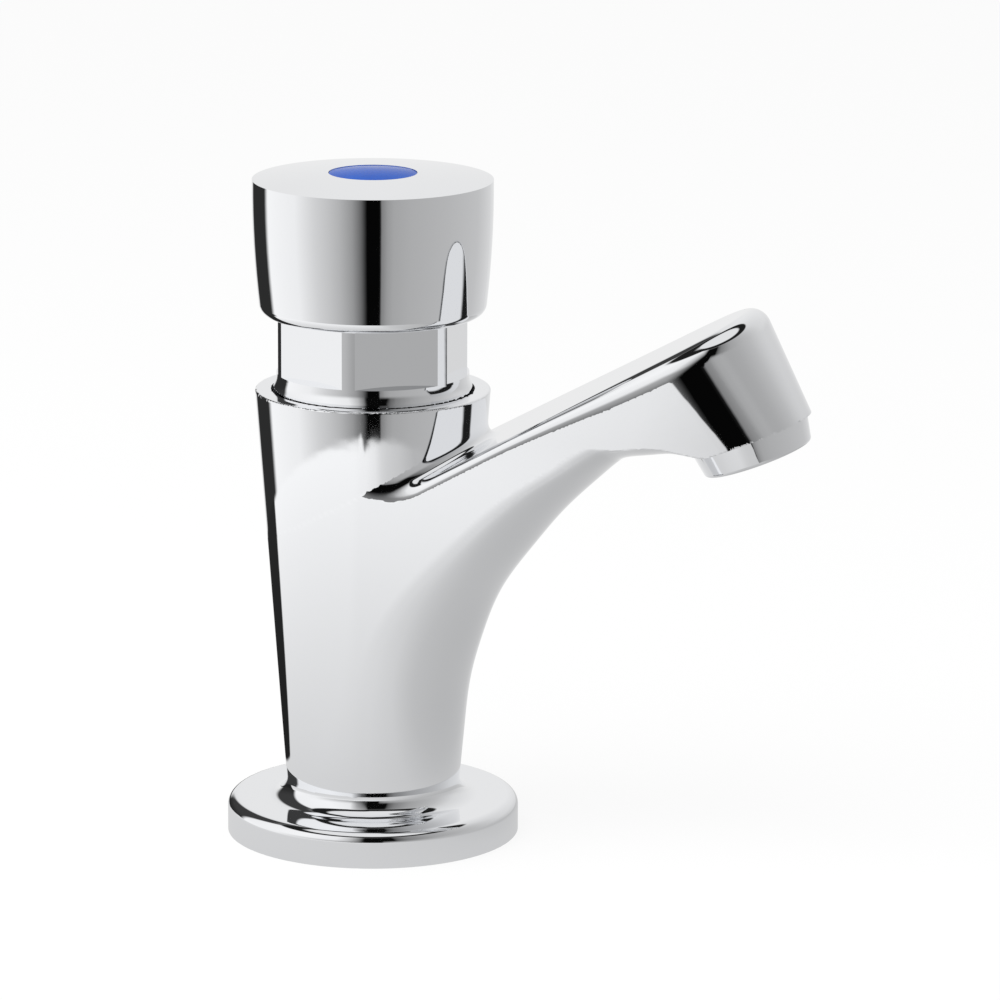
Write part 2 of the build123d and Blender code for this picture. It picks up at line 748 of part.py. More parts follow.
# Piston with its lip seal and the pin that meters the water past it
piston_radius = cylinder_bore_diameter / 2 - piston_clearance
lip_inner = lip_groove_diameter / 2
lip_groove_top = lip_groove_bottom + lip_groove_height
pin_radius = metering_pin_diameter / 2
with BuildPart() as piston:
    ring(piston_radius, rod_hole, piston_bottom, piston_top)
    ring(piston_radius, lip_inner, lip_groove_bottom, lip_groove_top, mode=Mode.SUBTRACT)
    with BuildSketch(Plane.XY.offset(piston_bottom)):
        with Locations((metering_pin_radius, 0)):
            Circle(pin_radius + running_clearance)
    extrude(amount=piston_length, mode=Mode.SUBTRACT)
keep(piston.part, "piston")

lip_outer = cylinder_bore_diameter / 2 - running_clearance
lip_low = lip_groove_bottom + seat_clearance
lip_high = lip_groove_top - seat_clearance
with BuildPart() as piston_lip_seal:
    turned(
        (lip_inner + seat_clearance, lip_low),
        (lip_outer - lip_seal_notch / 2, lip_low),
        (lip_outer, lip_high),
        (lip_outer - lip_seal_notch / 2, lip_high),
        ((lip_inner + lip_outer) / 2, lip_high - lip_seal_notch),
        (lip_inner + lip_seal_notch / 2, lip_high),
        (lip_inner + seat_clearance, lip_high),
    )
keep(piston_lip_seal.part, "piston_lip_seal")

with BuildPart() as metering_pin:
    with BuildSketch(Plane.XY.offset(piston_bottom)):
        with Locations((metering_pin_radius, 0)):
            Circle(pin_radius)
    extrude(amount=piston_length)
    with BuildSketch(Plane.XY.offset(piston_top)):
        with Locations((metering_pin_radius, 0)):
            Circle(pin_radius + metering_pin_head)
    extrude(amount=metering_pin_head)
keep(metering_pin.part, "metering_pin")

# Return spring between the cylinder's floor and the piston
with BuildPart() as return_spring:
    with BuildLine() as spring_path:
        Helix(
            (piston_bottom - cylinder_floor_top - spring_wire_diameter) / spring_turns,
            piston_bottom - cylinder_floor_top - spring_wire_diameter,
            spring_mean_diameter / 2,
            center=(0, 0, cylinder_floor_top + spring_wire_diameter / 2),
        )
    with BuildSketch(Plane(origin=spring_path.line @ 0, z_dir=spring_path.line % 0)):
        Circle(spring_wire_diameter / 2)
    sweep(is_frenet=True)
keep(return_spring.part, "return_spring")

# Push cap: bellied skirt, domed top with a pocket for the disc, and a boss for the rod
cap_top_radius = cap_top_diameter / 2
cap_bottom_radius = cap_bottom_diameter / 2
cap_middle = (cap_bottom_height + cap_rim_height) / 2
disc_radius = disc_diameter / 2
disc_top_height = cap_top_height + disc_proud
disc_rim_height = disc_top_height - disc_dome_rise
pocket_floor = disc_rim_height - disc_thickness
boss_radius = cap_boss_diameter / 2
with BuildPart() as push_cap:
    with BuildSketch(Plane.XZ) as cap_profile:
        with BuildLine():
            ThreePointArc(
                (cap_bottom_radius, cap_bottom_height),
                (cap_waist_diameter / 2, cap_middle),
                (cap_top_radius, cap_rim_height),
            )
            TangentArc((0, cap_top_height), (cap_top_radius, cap_rim_height), tangent=(1, 0))
            Polyline((0, cap_top_height), (0, cap_bottom_height), (cap_bottom_radius, cap_bottom_height))
        make_face()
        bottom_corner, top_corner = cap_profile.vertices().sort_by(Axis.X)[-2:]
        fillet(bottom_corner, cap_bottom_edge_radius)
        fillet(top_corner, cap_top_edge_radius)
    revolve(axis=Axis.Z)
    cut_hole(cap_bore_diameter / 2, cap_bottom_height, cap_roof_height)
    ring(boss_radius, rod_radius + seat_clearance, cap_boss_bottom, cap_roof_height)
    cut_hole(rod_radius + seat_clearance, cap_boss_bottom, rod_top_height)
    cut_hole(disc_radius + seat_clearance, pocket_floor, cap_top_height)
    cut_hole(cap_screw_head_diameter / 2 + seat_clearance, cap_screw_seat_height, pocket_floor)
    cut_hole(tapped_radius, rod_top_height, cap_screw_seat_height)
keep(push_cap.part, "push_cap")

with BuildPart() as index_disc:
    with BuildSketch(Plane.XZ):
        with BuildLine():
            TangentArc((0, disc_top_height), (disc_radius, disc_rim_height), tangent=(1, 0))
            Polyline(
                (disc_radius, disc_rim_height),
                (disc_radius, pocket_floor),
                (0, pocket_floor),
                (0, disc_top_height),
            )
        make_face()
    revolve(axis=Axis.Z)
keep(index_disc.part, "index_disc")

with BuildPart() as cap_screw:
    screw_head_top = cap_screw_seat_height + cap_screw_head_height
    ring(cap_screw_head_diameter / 2, 0, cap_screw_seat_height, screw_head_top)
    ring(cap_screw_diameter / 2, 0, cap_screw_seat_height - cap_screw_length, cap_screw_seat_height)
    with BuildSketch(Plane.XY.offset(screw_head_top)):
        RegularPolygon(cap_screw_socket / 2, 6, major_radius=False)
    extrude(amount=-cap_screw_socket_depth, mode=Mode.SUBTRACT)
keep(cap_screw.part, "cap_screw")

# Outlet nozzle: cone with a spigot that screws up into the nose, and a lip that holds the insert
spigot_radius = outlet_thread_diameter / 2 - thread_clearance
insert_radius = nozzle_bore_diameter / 2 - insert_clearance
lip_top = nozzle_height - nozzle_lip_thickness
with BuildPart() as outlet_housing:
    turned(
        (0, -nozzle_spigot_length),
        (spigot_radius, -nozzle_spigot_length),
        (spigot_radius, 0),
        (nozzle_top_diameter / 2, 0),
        (nozzle_bottom_diameter / 2, nozzle_height),
        (0, nozzle_height),
        frame=outlet_plane,
    )
    nozzle_axis = Axis(outlet_plane.origin, outlet_plane.z_dir)
    nozzle_end = outlet_housing.faces().filter_by(GeomType.PLANE).sort_by(nozzle_axis)[-1]
    fillet(nozzle_end.edges(), nozzle_edge_radius)
    cut_hole(nozzle_bore_diameter / 2, -nozzle_spigot_length, lip_top, outlet_plane)
    cut_hole(nozzle_lip_diameter / 2, lip_top, nozzle_height, outlet_plane)
keep(outlet_housing.part, "outlet_housing")

# Insert in the nozzle, stacked on its lip: straightener, screen, flow regulator, and the washer over them
straightener_top = lip_top - straightener_height
screen_top = straightener_top - screen_thickness

straightener_holes = spots_within(
    HexLocations(straightener_hole_spacing / 2, 9, 9), insert_radius - straightener_hole_diameter
)
with BuildPart() as flow_straightener:
    ring(insert_radius, 0, straightener_top, lip_top, outlet_plane)
    with BuildSketch(outlet_plane.offset(straightener_top)):
        with Locations(*straightener_holes):
            Circle(straightener_hole_diameter / 2)
    extrude(amount=straightener_height, mode=Mode.SUBTRACT)
keep(flow_straightener.part, "flow_straightener")

screen_holes = spots_within(GridLocations(screen_pitch, screen_pitch, 11, 11), insert_radius - screen_pitch)
with BuildPart() as outlet_screen:
    ring(insert_radius, 0, screen_top, straightener_top, outlet_plane)
    with BuildSketch(outlet_plane.offset(screen_top)):
        with Locations(*screen_holes):
            Rectangle(screen_hole, screen_hole)
    extrude(amount=screen_thickness, mode=Mode.SUBTRACT)
keep(outlet_screen.part, "outlet_screen")

groove_centre = insert_radius * regulator_groove_share
with BuildPart() as flow_regulator:
    ring(insert_radius, 0, -nozzle_spigot_length, screen_top, outlet_plane)
    with BuildSketch(outlet_plane.offset(-nozzle_spigot_length)):
        Circle(groove_centre + regulator_groove_width / 2)
        Circle(groove_centre - regulator_groove_width / 2, mode=Mode.SUBTRACT)
    extrude(amount=regulator_groove_depth, mode=Mode.SUBTRACT)
    with BuildSketch(outlet_plane.offset(-nozzle_spigot_length)):
        with PolarLocations(groove_centre, regulator_holes):
            Circle(regulator_hole_diameter / 2)
    extrude(amount=screen_top + nozzle_spigot_length, mode=Mode.SUBTRACT)
keep(flow_regulator.part, "flow_regulator")

with BuildPart() as outlet_washer:
    washer_hole = outlet_washer_bore_diameter / 2
    ring(spigot_radius, washer_hole, -outlet_thread_depth, -nozzle_spigot_length, outlet_plane)
keep(outlet_washer.part, "outlet_washer")
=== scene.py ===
import bpy
import math
import numpy
from mathutils import Matrix, Vector


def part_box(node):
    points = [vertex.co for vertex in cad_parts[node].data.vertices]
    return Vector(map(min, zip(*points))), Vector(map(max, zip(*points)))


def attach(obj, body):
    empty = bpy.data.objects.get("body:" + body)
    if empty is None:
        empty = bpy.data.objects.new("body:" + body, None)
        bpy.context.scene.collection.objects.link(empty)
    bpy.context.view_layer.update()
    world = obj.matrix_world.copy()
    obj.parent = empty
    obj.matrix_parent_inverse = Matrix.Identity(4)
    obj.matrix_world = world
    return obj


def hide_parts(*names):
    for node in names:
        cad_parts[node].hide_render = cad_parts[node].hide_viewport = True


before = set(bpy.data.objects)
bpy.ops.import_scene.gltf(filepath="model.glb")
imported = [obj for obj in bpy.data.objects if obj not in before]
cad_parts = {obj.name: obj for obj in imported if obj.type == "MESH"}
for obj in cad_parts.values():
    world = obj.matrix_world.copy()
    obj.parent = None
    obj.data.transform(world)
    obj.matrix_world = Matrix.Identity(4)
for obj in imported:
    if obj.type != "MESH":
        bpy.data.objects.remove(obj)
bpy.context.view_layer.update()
mm = 0.001
print("stage: frame loaded,", len(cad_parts), "nodes")


# camera: stands in front of the near side, a little towards the spout, and looks down on the cap
cameraSetup = {
    "turnDeg": 13.29,       # round the tap, towards the spout
    "distanceMm": 900.0,
    "asideMm": 20.78,
    "heightMm": 268.3,
    "tiltDeg": 13.29,
    "rollDeg": 0.286,
    "lensMm": 203.5,
    "sensorMm": 36.0,
}


def makeCamera(setup):
    turn, tilt, roll = (math.radians(setup[key]) for key in ("turnDeg", "tiltDeg", "rollDeg"))
    right = Vector((math.cos(turn), math.sin(turn), 0))
    away = Vector((-math.sin(turn), math.cos(turn), 0))
    ahead = away * math.cos(tilt) - Vector((0, 0, math.sin(tilt)))
    up = right.cross(ahead)
    side = right * math.cos(roll) + up * math.sin(roll)
    top = up * math.cos(roll) - right * math.sin(roll)
    place = (right * setup["asideMm"] - away * setup["distanceMm"] + Vector((0, 0, setup["heightMm"]))) * mm
    data = bpy.data.cameras.new("camera")
    data.lens = setup["lensMm"]
    data.sensor_width = setup["sensorMm"]
    camera = bpy.data.objects.new("camera", data)
    bpy.context.scene.collection.objects.link(camera)
    camera.matrix_world = Matrix.Translation(place) @ Matrix((side, top, -ahead)).transposed().to_4x4()
    bpy.context.scene.camera = camera
    bpy.context.scene.view_settings.view_transform = "Standard"
    return right, away


viewRight, viewAway = makeCamera(cameraSetup)
print("stage: camera")


# node helpers
def hexToLinear(code):
    parts = [int(code[i:i + 2], 16) / 255 for i in (1, 3, 5)]
    return [p / 12.92 if p <= 0.04045 else ((p + 0.055) / 1.055) ** 2.4 for p in parts] + [1.0]


def addNode(tree, kind, settings=None, inputs=None):
    node = tree.nodes.new(kind)
    for name, value in (settings or {}).items():
        setattr(node, name, value)
    for name, value in (inputs or {}).items():
        socket = node.inputs[name]
        if isinstance(value, bpy.types.NodeSocket):
            tree.links.new(value, socket)
        else:
            socket.default_value = value
    return node


def setStops(node, stops):
    ramp = node.color_ramp
    while len(ramp.elements) < len(stops):
        ramp.elements.new(0.5)
    for element, (place, colour) in zip(ramp.elements, stops):
        element.position = place
        element.color = colour


def grey(level):
    code = f"{level:02x}"
    return hexToLinear("#" + 3 * code)


def mirrorRays(tree):
    # the camera's own view of a thing, and what mirrors and clear stuff see of it
    rays = addNode(tree, "ShaderNodeLightPath")
    sharp = addNode(tree, "ShaderNodeMath", {"operation": "ADD", "use_clamp": True},
                    {0: rays.outputs["Is Glossy Ray"], 1: rays.outputs["Is Transmission Ray"]})
    return rays.outputs["Is Camera Ray"], sharp.outputs[0]


# studio: what the chrome mirrors, by direction round the tap, 0 towards the camera, minus to its left
studio = {
    "low": {"turn": [-180, -166, -160, -126, -120, -80, -57, -44, -32, -20, -12,
                     -8, -6, 7, 8, 14, 20, 37, 76, 120, 150, 180],
            "level": [238, 236, 45, 45, 253, 244, 214, 200, 183, 154, 110,
                      60, 6, 6, 128, 157, 169, 177, 186, 197, 217, 238]},
    "high": {"turn": [-180, -168, -162, -126, -120, -60, -30, -18, -11, -8, 17, 20, 28, 50, 90, 125, 180],
             "level": [236, 230, 60, 60, 246, 252, 240, 190, 120, 8, 8, 90, 130, 165, 190, 218, 236]},
    "top": 232,                     # soft ceiling that the top faces mirror
    "lowToHigh": (0.0, 0.3),        # where one band turns into the next, as the height of the direction
    "highToTop": (0.72, 0.92),
    "gap": (0.76, 0.87),            # dark gap between the walls and the ceiling
    "gapBlur": 0.03,
    "gapTone": 30,
    "ambient": 0.75,                # plain soft light on everything that isn't mirror-like
}


def makeWorld(setup):
    world = bpy.data.worlds.new("studio")
    bpy.context.scene.world = world
    world.use_nodes = True
    tree = world.node_tree
    tree.nodes.clear()
    aside = math.atan2(cameraSetup["asideMm"], cameraSetup["distanceMm"])
    turn = math.radians(cameraSetup["turnDeg"]) + aside
    coords = addNode(tree, "ShaderNodeTexCoord")
    turned = addNode(tree, "ShaderNodeVectorRotate", {"rotation_type": "Z_AXIS"},
                     {"Vector": coords.outputs["Generated"], "Angle": -turn})
    parts = addNode(tree, "ShaderNodeSeparateXYZ", None, {"Vector": turned.outputs["Vector"]})
    back = addNode(tree, "ShaderNodeMath", {"operation": "MULTIPLY"}, {0: parts.outputs["Y"], 1: -1.0})
    angle = addNode(tree, "ShaderNodeMath", {"operation": "ARCTAN2"},
                    {0: parts.outputs["X"], 1: back.outputs[0]})
    share = addNode(tree, "ShaderNodeMapRange", None,
                    {"Value": angle.outputs[0], "From Min": -math.pi, "From Max": math.pi})
    bands = {}
    for name in ("low", "high"):
        band = addNode(tree, "ShaderNodeValToRGB", None, {"Fac": share.outputs["Result"]})
        stops = zip(setup[name]["turn"], setup[name]["level"])
        setStops(band, [((turnDeg + 180) / 360, grey(level)) for turnDeg, level in stops])
        bands[name] = band.outputs["Color"]
    room = bands["low"]
    for name, target in (("lowToHigh", bands["high"]), ("highToTop", grey(setup["top"]))):
        low, high = setup[name]
        rise = addNode(tree, "ShaderNodeMapRange", {"interpolation_type": "SMOOTHSTEP"},
                       {"Value": parts.outputs["Z"], "From Min": low, "From Max": high})
        mixed = addNode(tree, "ShaderNodeMixRGB", None,
                        {"Fac": rise.outputs["Result"], "Color1": room, "Color2": target})
        room = mixed.outputs["Color"]
    low, high = setup["gap"]
    blur = setup["gapBlur"]
    wall = addNode(tree, "ShaderNodeMapRange", {"interpolation_type": "SMOOTHSTEP"},
                   {"Value": parts.outputs["Z"], "From Min": low, "From Max": low + blur})
    ceiling = addNode(tree, "ShaderNodeMapRange", {"interpolation_type": "SMOOTHSTEP"},
                      {"Value": parts.outputs["Z"], "From Min": high, "From Max": high + blur,
                       "To Min": 1.0, "To Max": 0.0})
    between = addNode(tree, "ShaderNodeMath", {"operation": "MULTIPLY"},
                      {0: wall.outputs["Result"], 1: ceiling.outputs["Result"]})
    room = addNode(tree, "ShaderNodeMixRGB", None,
                   {"Fac": between.outputs[0], "Color1": room, "Color2": grey(setup["gapTone"])})
    seenByCamera, seenSharp = mirrorRays(tree)
    ambient = [setup["ambient"]] * 3 + [1]
    soft = addNode(tree, "ShaderNodeMixRGB", None,
                   {"Fac": seenSharp, "Color1": ambient, "Color2": room.outputs["Color"]})
    seen = addNode(tree, "ShaderNodeMixRGB", None,
                   {"Fac": seenByCamera, "Color1": soft.outputs["Color"], "Color2": [1, 1, 1, 1]})
    light = addNode(tree, "ShaderNodeBackground", None, {"Color": seen.outputs["Color"]})
    addNode(tree, "ShaderNodeOutputWorld", None, {"Surface": light.outputs["Background"]})


makeWorld(studio)


# floor: white table, which the chrome sees only close to the tap, as a glow with painted light and shade
floorSetup = {
    "sizeMm": 6000.0,
    "shadeMm": [-40, 0, 26, 46, 62, 100, 140],      # places along the line of painted shading
    "shadeLevel": [254, 248, 240, 222, 214, 204, 186],
    "shadeLine": (1.0, -0.08),      # right and away parts of that line
    "reachMm": 197.0,               # radius of the white table top
    "reachBlurMm": 3.0,
    "darkLine": (-0.6, 0.8),        # towards the painted dark patch that stands for the flag behind on the left
    "darkFromMm": 42.0,
    "darkBlurMm": 3.0,
    "darkSlope": (0.34, 0.4),       # half spread of that painted patch, from where it fades to where it ends
    "darkLevel": 40,
    "nearDim": 0.7,                 # painted shade: the table top is darker close to the tap
    "nearMm": 40.0,
    "colour": "#f4f4f4",
    "whiteShare": 0.86,     # how much of the camera's view of it is plain white, the rest keeps the shadow
}


def makeFloor(setup):
    half = setup["sizeMm"] / 2 * mm
    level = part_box("tap_body")[0].z
    corners = [(-half, -half, level), (half, -half, level), (half, half, level), (-half, half, level)]
    mesh = bpy.data.meshes.new("floor")
    mesh.from_pydata(corners, [], [(0, 1, 2, 3)])
    floor = bpy.data.objects.new("floor", mesh)
    bpy.context.scene.collection.objects.link(floor)
    material = bpy.data.materials.new("whiteTable")
    material.use_nodes = True
    tree = material.node_tree
    tree.nodes.clear()
    place = addNode(tree, "ShaderNodeNewGeometry")
    right, away = setup["darkLine"]
    lines = {"shade": setup["shadeLine"], "outward": (right, away), "sideways": (away, -right)}
    along = {}
    for name, (toRight, toAway) in lines.items():
        dot = addNode(tree, "ShaderNodeVectorMath", {"operation": "DOT_PRODUCT"},
                      {0: place.outputs["Position"], 1: (viewRight * toRight + viewAway * toAway) / mm})
        along[name] = dot.outputs["Value"]
    # painted shading of the table top as the chrome sees it: lighter to the left, darker to the right
    start, end = setup["shadeMm"][0], setup["shadeMm"][-1]
    share = addNode(tree, "ShaderNodeMapRange", None,
                    {"Value": along["shade"], "From Min": start, "From Max": end})
    tone = addNode(tree, "ShaderNodeValToRGB", None, {"Fac": share.outputs["Result"]})
    stops = zip(setup["shadeMm"], setup["shadeLevel"])
    setStops(tone, [((spot - start) / (end - start), grey(shade)) for spot, shade in stops])
    # painted shade: a dark patch on the table top for the flag behind on the left, seen only in the chrome
    ahead = addNode(tree, "ShaderNodeMath", {"operation": "MAXIMUM"}, {0: along["outward"], 1: 1.0})
    ratio = addNode(tree, "ShaderNodeMath", {"operation": "DIVIDE"},
                    {0: along["sideways"], 1: ahead.outputs[0]})
    spread = addNode(tree, "ShaderNodeMath", {"operation": "ABSOLUTE"}, {0: ratio.outputs[0]})
    near, blur = setup["darkFromMm"], setup["darkBlurMm"]
    begins = addNode(tree, "ShaderNodeMapRange", {"interpolation_type": "SMOOTHSTEP"},
                     {"Value": along["outward"], "From Min": near, "From Max": near + blur})
    fade, stop = setup["darkSlope"]
    within = addNode(tree, "ShaderNodeMapRange", {"interpolation_type": "SMOOTHSTEP"},
                     {"Value": spread.outputs[0], "From Min": fade, "From Max": stop,
                      "To Min": 1.0, "To Max": 0.0})
    paintedFlagPatch = addNode(tree, "ShaderNodeMath", {"operation": "MULTIPLY"},
                   {0: begins.outputs["Result"], 1: within.outputs["Result"]})
    toned = addNode(tree, "ShaderNodeMixRGB", None,
                    {"Fac": paintedFlagPatch.outputs[0], "Color1": tone.outputs["Color"],
                     "Color2": grey(setup["darkLevel"])})
    # painted shade close to the tap: the glow dims towards it
    far = addNode(tree, "ShaderNodeVectorMath", {"operation": "LENGTH"}, {0: place.outputs["Position"]})
    farMm = addNode(tree, "ShaderNodeMath", {"operation": "DIVIDE"}, {0: far.outputs["Value"], 1: mm})
    shadeNearTap = addNode(tree, "ShaderNodeMapRange", None,
                  {"Value": farMm.outputs[0], "From Min": setup["nearMm"], "From Max": setup["reachMm"],
                   "To Min": setup["nearDim"], "To Max": 1.0})
    paintedTableGlow = addNode(tree, "ShaderNodeEmission", None,
                   {"Color": toned.outputs["Color"], "Strength": shadeNearTap.outputs["Result"]})
    rim, blur = setup["reachMm"], setup["reachBlurMm"]
    beyond = addNode(tree, "ShaderNodeMapRange", {"interpolation_type": "SMOOTHSTEP"},
                     {"Value": farMm.outputs[0], "From Min": rim - blur, "From Max": rim + blur})
    clear = addNode(tree, "ShaderNodeBsdfTransparent")
    mirrored = addNode(tree, "ShaderNodeMixShader", None,
                       {0: beyond.outputs["Result"], 1: paintedTableGlow.outputs["Emission"], 2: clear.outputs["BSDF"]})
    plain = addNode(tree, "ShaderNodeBsdfDiffuse", None, {"Color": hexToLinear(setup["colour"])})
    white = addNode(tree, "ShaderNodeEmission", None, {"Color": [1, 1, 1, 1]})
    shown = addNode(tree, "ShaderNodeMixShader", None,
                    {0: setup["whiteShare"], 1: plain.outputs["BSDF"], 2: white.outputs["Emission"]})
    seenByCamera, seenSharp = mirrorRays(tree)
    first = addNode(tree, "ShaderNodeMixShader", None,
                    {0: seenByCamera, 1: plain.outputs["BSDF"], 2: shown.outputs["Shader"]})
    final = addNode(tree, "ShaderNodeMixShader", None,
                    {0: seenSharp, 1: first.outputs["Shader"], 2: mirrored.outputs["Shader"]})
    addNode(tree, "ShaderNodeOutputMaterial", None, {"Surface": final.outputs["Shader"]})
    mesh.materials.append(material)


makeFloor(floorSetup)

# lamps: one wide softbox over the tap and a weaker one from the left
lamps = {
    "overheadSoftbox": {"placeMm": (-150, -350, 700), "sizeMm": 600, "watts": 3.2},
    "leftSoftbox": {"placeMm": (-700, -250, 300), "sizeMm": 500, "watts": 2.0},
}


def makeLamp(name, setup):
    data = bpy.data.lights.new(name, "AREA")
    data.size = setup["sizeMm"] * mm
    data.energy = setup["watts"]
    lamp = bpy.data.objects.new(name, data)
    bpy.context.scene.collection.objects.link(lamp)
    lamp.location = Vector(setup["placeMm"]) * mm
    lamp.rotation_mode = "QUATERNION"
    lamp.rotation_quaternion = (-lamp.location).to_track_quat("-Z", "Y")
    lamp.visible_glossy = False


for lampName, lampSetup in lamps.items():
    makeLamp(lampName, lampSetup)
print("stage: studio")


# materials: every slot of the record gets one, named for the real stuff
def newMaterial(name):
    material = bpy.data.materials.new(name)
    material.use_nodes = True
    tree = material.node_tree
    tree.nodes.clear()
    shader = addNode(tree, "ShaderNodeBsdfPrincipled")
    addNode(tree, "ShaderNodeOutputMaterial", None, {"Surface": shader.outputs["BSDF"]})
    place = addNode(tree, "ShaderNodeTexCoord")
    return material, tree, shader, place.outputs["Object"]


def perMetre(sizeMm):
    return 1.0 / (sizeMm * mm)      # noise scale whose blotches are about this wide


# bright chrome plating on polished brass: near-perfect mirror, faint buffing waves and a breath of haze
chromeLook = {
    "colour": "#f6f7f9",
    "roughness": (0.018, 0.045),
    "hazeMm": 9.0,          # soft patches of haze left by wiping
    "buffMm": 3.2,          # polishing-wheel ripple, coarser than the real 0.5 mm so that it shows at all
    "buffDepthMm": 0.004,
}


def makeChrome(look):
    material, tree, shader, place = newMaterial("chromePlatedBrass")
    shader.inputs["Base Color"].default_value = hexToLinear(look["colour"])
    shader.inputs["Metallic"].default_value = 1.0
    haze = addNode(tree, "ShaderNodeTexNoise", None,
                   {"Vector": place, "Scale": perMetre(look["hazeMm"]), "Detail": 3.0, "Roughness": 0.6})
    spread = addNode(tree, "ShaderNodeMapRange", None,
                     {"Value": haze.outputs["Fac"], "From Min": 0.35, "From Max": 0.7,
                      "To Min": look["roughness"][0], "To Max": look["roughness"][1]})
    tree.links.new(spread.outputs["Result"], shader.inputs["Roughness"])
    ripple = addNode(tree, "ShaderNodeTexNoise", None,
                     {"Vector": place, "Scale": perMetre(look["buffMm"]), "Detail": 1.0})
    bump = addNode(tree, "ShaderNodeBump", None,
                   {"Height": ripple.outputs["Fac"], "Distance": look["buffDepthMm"] * mm, "Strength": 1.0})
    tree.links.new(bump.outputs["Normal"], shader.inputs["Normal"])
    return material


# turned free-cutting brass: yellow, with fine tool rings round the axis that catch the light
brassLook = {
    "colours": ("#b98d45", "#d9b36c"),
    "roughness": (0.2, 0.36),
    "ringMm": 0.35,         # feed marks of the turning tool
    "ringDepthMm": 0.006,
    "tarnishMm": 14.0,
}


def makeTurnedMetal(name, look):
    # a wave texture repeats every pi / 10 over its scale
    material, tree, shader, place = newMaterial(name)
    shader.inputs["Metallic"].default_value = 1.0
    stain = addNode(tree, "ShaderNodeTexNoise", None,
                    {"Vector": place, "Scale": perMetre(look["tarnishMm"]), "Detail": 5.0})
    tint = addNode(tree, "ShaderNodeValToRGB", None, {"Fac": stain.outputs["Fac"]})
    setStops(tint, [(0.3, hexToLinear(look["colours"][0])), (0.7, hexToLinear(look["colours"][1]))])
    tree.links.new(tint.outputs["Color"], shader.inputs["Base Color"])
    rings = addNode(tree, "ShaderNodeTexWave", {"wave_type": "BANDS", "bands_direction": "Z"},
                    {"Vector": place, "Scale": perMetre(look["ringMm"]) * math.pi / 10,
                     "Distortion": 0.6, "Detail": 2.0})
    wear = addNode(tree, "ShaderNodeMapRange", None,
                   {"Value": rings.outputs["Fac"],
                    "To Min": look["roughness"][0], "To Max": look["roughness"][1]})
    tree.links.new(wear.outputs["Result"], shader.inputs["Roughness"])
    bump = addNode(tree, "ShaderNodeBump", None,
                   {"Height": rings.outputs["Fac"], "Distance": look["ringDepthMm"] * mm, "Strength": 0.6})
    tree.links.new(bump.outputs["Normal"], shader.inputs["Normal"])
    return material


# drawn stainless steel wire and pressings: cooler and greyer than the chrome, satin
steelLook = {
    "colours": ("#a9abad", "#c6c8ca"),
    "roughness": (0.22, 0.34),
    "ringMm": 0.25,
    "ringDepthMm": 0.003,
    "tarnishMm": 10.0,
}

# moulded EPDM rubber: almost black, dull, with a fine mould grain
rubberLook = {"colours": ("#141414", "#232323"), "roughness": (0.62, 0.8), "specular": 0.5,
              "grainMm": 0.4, "grainDepthMm": 0.02, "cloudMm": 12.0, "sheen": 0.25}
# injection-moulded acetal: translucent milky white that looks faintly waxy
acetalLook = {"colours": ("#e9e8e2", "#f4f3ee"), "roughness": (0.32, 0.45), "specular": 0.5,
              "grainMm": 0.5, "grainDepthMm": 0.006, "cloudMm": 15.0, "sheen": 0.0}
# injection-moulded white nylon of the washers and strainer: whiter, a little duller
nylonLook = {"colours": ("#e4e4e0", "#f0f0ee"), "roughness": (0.4, 0.55), "specular": 0.5,
             "grainMm": 0.6, "grainDepthMm": 0.01, "cloudMm": 15.0, "sheen": 0.0}
# blue ABS of the cold-water index: even colour, with reflections held low so that the blue stays deep
indexLook = {"colours": ("#0046a6", "#014daf"), "roughness": (0.14, 0.2), "specular": 0.03,
             "grainMm": 1.2, "grainDepthMm": 0.001, "cloudMm": 6.0, "sheen": 0.0}


def makeMoulded(name, look):
    material, tree, shader, place = newMaterial(name)
    shader.inputs["Sheen Weight"].default_value = look["sheen"]
    shader.inputs["Specular IOR Level"].default_value = look["specular"]
    cloud = addNode(tree, "ShaderNodeTexNoise", None,
                    {"Vector": place, "Scale": perMetre(look["cloudMm"]), "Detail": 4.0})
    tint = addNode(tree, "ShaderNodeValToRGB", None, {"Fac": cloud.outputs["Fac"]})
    setStops(tint, [(0.35, hexToLinear(look["colours"][0])), (0.65, hexToLinear(look["colours"][1]))])
    tree.links.new(tint.outputs["Color"], shader.inputs["Base Color"])
    wear = addNode(tree, "ShaderNodeMapRange", None,
                   {"Value": cloud.outputs["Fac"], "From Min": 0.35, "From Max": 0.65,
                    "To Min": look["roughness"][0], "To Max": look["roughness"][1]})
    tree.links.new(wear.outputs["Result"], shader.inputs["Roughness"])
    grain = addNode(tree, "ShaderNodeTexNoise", None,
                    {"Vector": place, "Scale": perMetre(look["grainMm"]), "Detail": 2.0})
    bump = addNode(tree, "ShaderNodeBump", None,
                   {"Height": grain.outputs["Fac"], "Distance": look["grainDepthMm"] * mm, "Strength": 1.0})
    tree.links.new(bump.outputs["Normal"], shader.inputs["Normal"])
    return material


finishes = {
    "chrome": makeChrome(chromeLook),
    "brass": makeTurnedMetal("turnedBrass", brassLook),
    "steel": makeTurnedMetal("drawnStainlessSteel", steelLook),
    "rubber": makeMoulded("mouldedRubber", rubberLook),
    "acetal": makeMoulded("mouldedAcetal", acetalLook),
    "white_plastic": makeMoulded("mouldedNylon", nylonLook),
    "blue_plastic": makeMoulded("glossyBlueAbs", indexLook),
}
print("stage: materials")


# CAD nodes keep their shape and take these finishes
def dressNodes():
    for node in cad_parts.values():
        for place in node.material_slots:
            place.material = finishes[place.material.name.split(".")[0]]


dressNodes()
print("stage: nodes dressed")


